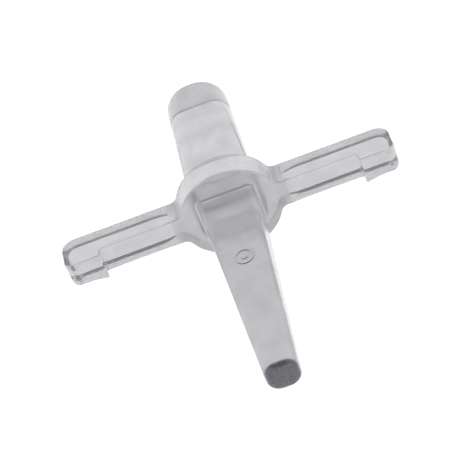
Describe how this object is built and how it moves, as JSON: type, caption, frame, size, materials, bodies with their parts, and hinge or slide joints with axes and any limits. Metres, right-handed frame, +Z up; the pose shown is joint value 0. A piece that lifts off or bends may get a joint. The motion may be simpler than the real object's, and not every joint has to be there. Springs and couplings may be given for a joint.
{
  "type": "four-armed service key",
  "caption": "Cross-shaped clear plastic service key: round hub, tapered square key arm, straight grip arm and side arms ending in stepped key bits.",
  "frame": {"origin": "under the middle of the whole object, on the plane that the hub's rim stands on", "axes": "+Y along the main axis towards the grip arm, -Y towards the tapered key arm, +X along the right side arm, +Z up"},
  "size_m": [0.0628, 0.0752, 0.019],
  "materials": {
    "hub_plastic": "clear smoke-grey moulded plastic, faintly milky, gloss with light handling wear",
    "key_plastic": "clear smoke-grey moulded plastic, faintly milky, gloss with light handling wear",
    "grip_plastic": "clear smoke-grey moulded plastic, faintly milky, gloss with light handling wear",
    "arm_plastic": "clear smoke-grey moulded plastic, faintly milky, gloss with light handling wear"
  },
  "bodies": {
    "root": {"hub": "hub_plastic", "front_key": "key_plastic", "rear_grip": "grip_plastic", "left_arm": "arm_plastic", "right_arm": "arm_plastic"}
  },
  "joints": []
}
